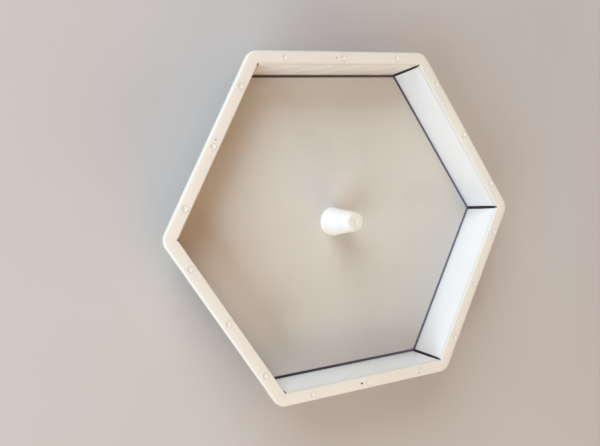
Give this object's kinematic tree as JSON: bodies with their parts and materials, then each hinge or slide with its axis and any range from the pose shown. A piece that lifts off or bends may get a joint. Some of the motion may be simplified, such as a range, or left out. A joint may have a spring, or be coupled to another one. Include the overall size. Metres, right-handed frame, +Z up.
{
  "type": "rock tumbler barrel",
  "caption": "Shallow six-sided tumbling barrel with wear liners, black seams and a centre post, turning on a sealed bearing under its floor.",
  "frame": {"origin": "on the spin axis, in the plane of the surface that the base pad stands on", "axes": "+Z up the spin axis to the open mouth, +X through two opposite corners, +Y square to two sides"},
  "size_m": [0.198, 0.1732, 0.0461],
  "materials": {
    "shell_plastic": "satin moulded",
    "liner_plastic": "satin moulded, faintly scuffed",
    "rim_plastic": "satin moulded",
    "post_plastic": "smooth moulded",
    "seam_rubber": "matt",
    "black_rubber": "matt",
    "cast_aluminium": "turned",
    "ground_steel": "ground",
    "zinc_steel": "zinc plated",
    "bush_bronze": "turned"
  },
  "bodies": {
    "base": {"base_pad": "black_rubber", "mount_flange": "cast_aluminium", "spindle": "ground_steel", "spindle_washer": "zinc_steel", "spindle_nut": "zinc_steel", "bearing_inner_ring": "ground_steel"},
    "ball_cage": {"bearing_balls": "ground_steel", "bearing_cage": "bush_bronze"},
    "barrel": {"bearing_outer_ring": "ground_steel", "bearing_shields": "zinc_steel", "bearing_circlip": "zinc_steel", "dust_seal": "black_rubber", "drive_pulley": "cast_aluminium", "pulley_screws": "zinc_steel", "pulley_gasket": "black_rubber", "barrel_shell": "shell_plastic", "backing_plate": "zinc_steel", "floor_plate": "liner_plastic", "floor_seal": "seam_rubber", "wall_plate_1": "liner_plastic", "wall_plate_2": "liner_plastic", "wall_plate_3": "liner_plastic", "wall_plate_4": "liner_plastic", "wall_plate_5": "liner_plastic", "wall_plate_6": "liner_plastic", "corner_seal_1": "seam_rubber", "corner_seal_2": "seam_rubber", "corner_seal_3": "seam_rubber", "corner_seal_4": "seam_rubber", "corner_seal_5": "seam_rubber", "corner_seal_6": "seam_rubber", "rim_frame": "rim_plastic", "rim_pins": "rim_plastic", "centre_post": "post_plastic", "post_bush": "bush_bronze"}
  },
  "joints": [
    {"name": "barrel_spin", "type": "hinge", "parent": "base", "child": "barrel", "pos_m": [0, 0, 0.0115], "axis": [0, 0, 1], "continuous": true},
    {"name": "cage_spin", "type": "hinge", "parent": "base", "child": "ball_cage", "pos_m": [0, 0, 0.0115], "axis": [0, 0, 1], "continuous": true}
  ],
  "couplings": [
    {"joint": "cage_spin", "follows": "barrel_spin", "ratio": 0.636}
  ]
}
